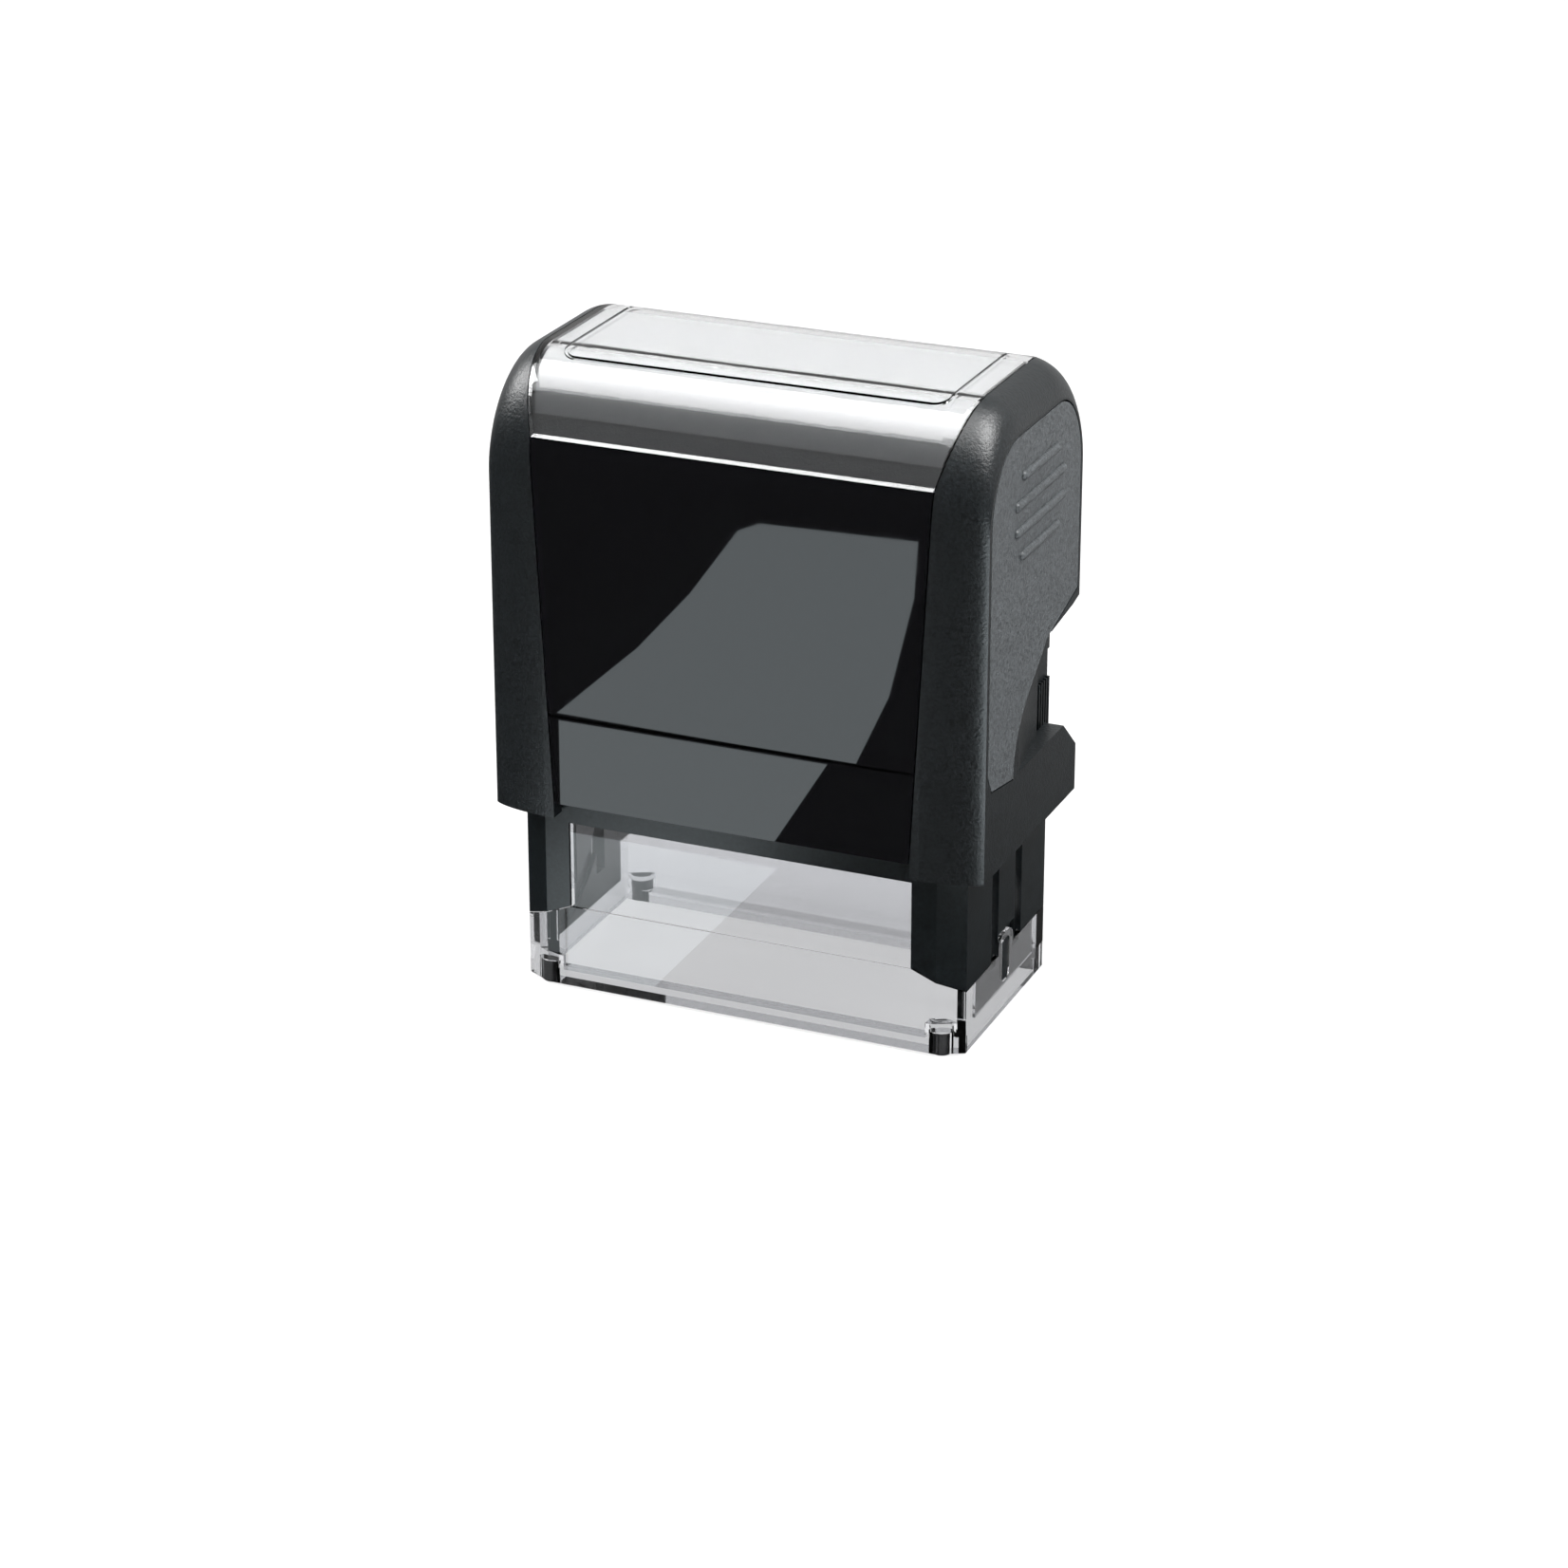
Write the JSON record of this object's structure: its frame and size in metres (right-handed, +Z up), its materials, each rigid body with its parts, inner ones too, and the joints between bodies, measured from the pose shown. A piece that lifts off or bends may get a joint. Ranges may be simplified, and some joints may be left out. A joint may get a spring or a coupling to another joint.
{
  "type": "self-inking stamp",
  "caption": "Hand stamp that turns its die from an ink pad to the paper when the cap is pressed, with a clear foot and a lift-off clear index window.",
  "frame": {"origin": "middle of the footprint on the table, under the rubber feet", "axes": "+X to the right, -Y to the front (the gloss panel), +Z up along the stroke"},
  "size_m": [0.0564, 0.0312, 0.0714],
  "materials": {
    "cap_plastic": "satin moulded, fine grain",
    "gloss_panel": "piano black",
    "grip_plastic": "soft matte",
    "clear_plastic": "clear moulded",
    "card": "smooth card",
    "frame_plastic": "satin moulded",
    "foot_rubber": "matte",
    "carrier_plastic": "satin moulded",
    "foam": "open foam",
    "die_rubber": "smooth, faintly inked",
    "felt": "inked felt",
    "spring_steel": "bright wire"
  },
  "bodies": {
    "housing": {"frame": "frame_plastic", "clear_foot": "clear_plastic", "rubber_foot_front_left": "foot_rubber", "rubber_foot_front_right": "foot_rubber", "rubber_foot_rear_left": "foot_rubber", "rubber_foot_rear_right": "foot_rubber", "return_spring": "spring_steel"},
    "cap": {"cap_shell": "cap_plastic", "front_panel": "gloss_panel", "rear_panel": "gloss_panel", "grip_panel_left": "grip_plastic", "grip_panel_right": "grip_plastic", "index_card": "card", "plunger_yoke": "frame_plastic"},
    "window": {"index_window": "clear_plastic"},
    "die": {"die_carrier": "carrier_plastic", "foam_layer": "foam", "rubber_die": "die_rubber"},
    "cassette": {"cassette_tray": "frame_plastic", "ink_pad": "felt"}
  },
  "joints": [
    {"name": "cap_press", "type": "slide", "parent": "housing", "child": "cap", "axis": [0, 0, -1], "range_m": [0, 0.019], "stiffness_N_per_m": 600, "springref_m": -0.006, "deforming": ["return_spring"]},
    {"name": "die_flip", "type": "hinge", "parent": "cap", "child": "die", "pos_m": [0, 0, 0.024], "axis": [-1, 0, 0], "range_deg": [-0.5, 180.5]},
    {"name": "cassette_pull", "type": "slide", "parent": "housing", "child": "cassette", "axis": [0, 1, 0], "range_m": [0, 0.03]},
    {"name": "window_lift", "type": "slide", "parent": "cap", "child": "window", "axis": [0, 0, 1], "range_m": [0, 0.01]}
  ],
  "couplings": [
    {"joint": "die_flip", "follows": "cap_press", "rad_per_m": 165.35}
  ]
}
